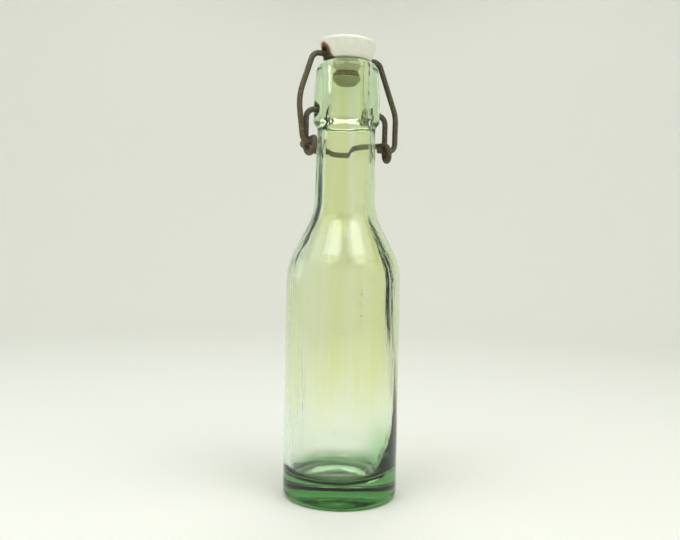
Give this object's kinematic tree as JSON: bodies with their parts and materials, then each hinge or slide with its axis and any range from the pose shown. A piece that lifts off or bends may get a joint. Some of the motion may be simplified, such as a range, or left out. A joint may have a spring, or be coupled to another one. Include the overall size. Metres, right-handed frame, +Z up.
{
  "type": "swing top bottle",
  "caption": "Tall glass bottle closed by a porcelain stopper held down by a hinged wire bail and lever that swing off over the mouth.",
  "frame": {"origin": "centre of the base, on the surface the bottle stands on", "axes": "+Z up along the bottle; X along the wires' pivots; the lever's thumb loop hangs behind the neck at +Y"},
  "size_m": [0.0594, 0.0592, 0.2348],
  "materials": {
    "glass": "clear pale green, lightly uneven",
    "porcelain": "gloss white glaze, aged",
    "washer_rubber": "old, matt",
    "bail_wire": "dark rusted steel wire",
    "lever_wire": "dark rusted steel wire"
  },
  "bodies": {
    "bottle": {"bottle": "glass"},
    "lever": {"lever": "lever_wire"},
    "bail": {"bail": "bail_wire"},
    "stopper": {"stopper": "porcelain", "washer": "washer_rubber"}
  },
  "joints": [
    {"name": "lever_swing", "type": "hinge", "parent": "bottle", "child": "lever", "pos_m": [0, 0, 0.1983], "axis": [1, 0, 0], "range_deg": [0, 180]},
    {"name": "bail_swing", "type": "hinge", "parent": "lever", "child": "bail", "pos_m": [0, -0.0012, 0.18035], "axis": [0.9995, 0, -0.033], "range_deg": [-121.5, 0]},
    {"name": "stopper_turn", "type": "hinge", "parent": "bail", "child": "stopper", "pos_m": [0, 0, 0.2263], "axis": [0.9995, 0, -0.033], "range_deg": [-58.5, 0]}
  ],
  "couplings": [
    {"joint": "bail_swing", "follows": "lever_swing", "ratio": -0.675},
    {"joint": "stopper_turn", "follows": "lever_swing", "ratio": -0.325}
  ]
}
